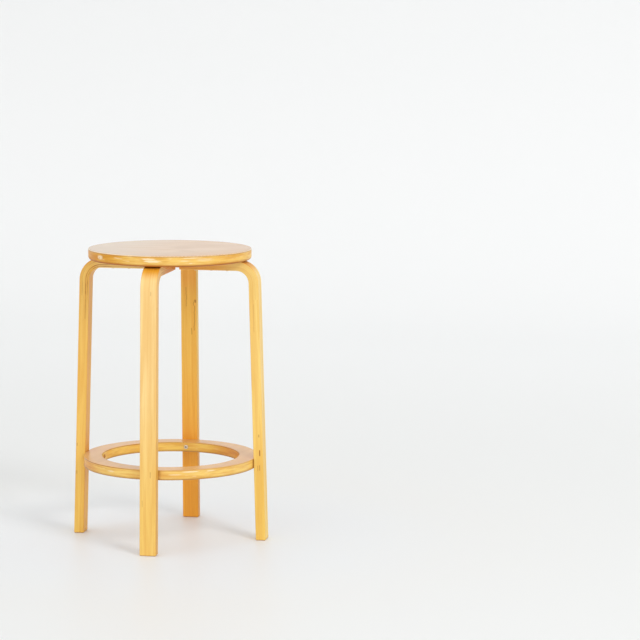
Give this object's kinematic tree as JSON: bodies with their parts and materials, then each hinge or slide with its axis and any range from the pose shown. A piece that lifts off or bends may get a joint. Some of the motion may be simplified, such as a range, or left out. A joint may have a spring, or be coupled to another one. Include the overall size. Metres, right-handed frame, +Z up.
{
  "type": "stacking stool",
  "caption": "Counter-height wooden stool: round seat on bent L-shaped legs with slotted, laminated knees and a ring footrest screwed inside them.",
  "frame": {"origin": "on the floor, under the middle of the round seat", "axes": "+Z up through the middle of the seat; the legs stand on the X and Y axes, with the front leg on -Y and the right leg on +X"},
  "size_m": [0.441, 0.441, 0.65],
  "materials": {
    "seat_core": "raw laminated birch",
    "seat_veneer": "clear lacquered birch veneer",
    "edge_band": "clear lacquered solid birch, aged golden",
    "leg_birch": "clear lacquered solid birch, aged golden",
    "leg_ply": "birch veneer glued in the slots, lacquered",
    "footrest_ply": "lacquered birch plywood edge",
    "footrest_veneer": "clear lacquered birch veneer",
    "steel": "zinc-plated steel"
  },
  "bodies": {
    "root": {"seat_core": "seat_core", "seat_top_veneer": "seat_veneer", "seat_bottom_veneer": "seat_veneer", "seat_edge_band": "edge_band", "seat_band_brads": "steel", "front_leg": "leg_birch", "front_leg_ply_1": "leg_ply", "front_leg_ply_2": "leg_ply", "front_leg_ply_3": "leg_ply", "front_leg_ply_4": "leg_ply", "front_leg_ply_5": "leg_ply", "front_leg_screws": "steel", "front_footrest_screw": "steel", "right_leg": "leg_birch", "right_leg_ply_1": "leg_ply", "right_leg_ply_2": "leg_ply", "right_leg_ply_3": "leg_ply", "right_leg_ply_4": "leg_ply", "right_leg_ply_5": "leg_ply", "right_leg_screws": "steel", "right_footrest_screw": "steel", "back_leg": "leg_birch", "back_leg_ply_1": "leg_ply", "back_leg_ply_2": "leg_ply", "back_leg_ply_3": "leg_ply", "back_leg_ply_4": "leg_ply", "back_leg_ply_5": "leg_ply", "back_leg_screws": "steel", "back_footrest_screw": "steel", "left_leg": "leg_birch", "left_leg_ply_1": "leg_ply", "left_leg_ply_2": "leg_ply", "left_leg_ply_3": "leg_ply", "left_leg_ply_4": "leg_ply", "left_leg_ply_5": "leg_ply", "left_leg_screws": "steel", "left_footrest_screw": "steel", "footrest_core": "footrest_ply", "footrest_top_veneer": "footrest_veneer", "footrest_bottom_veneer": "footrest_veneer"}
  },
  "joints": []
}
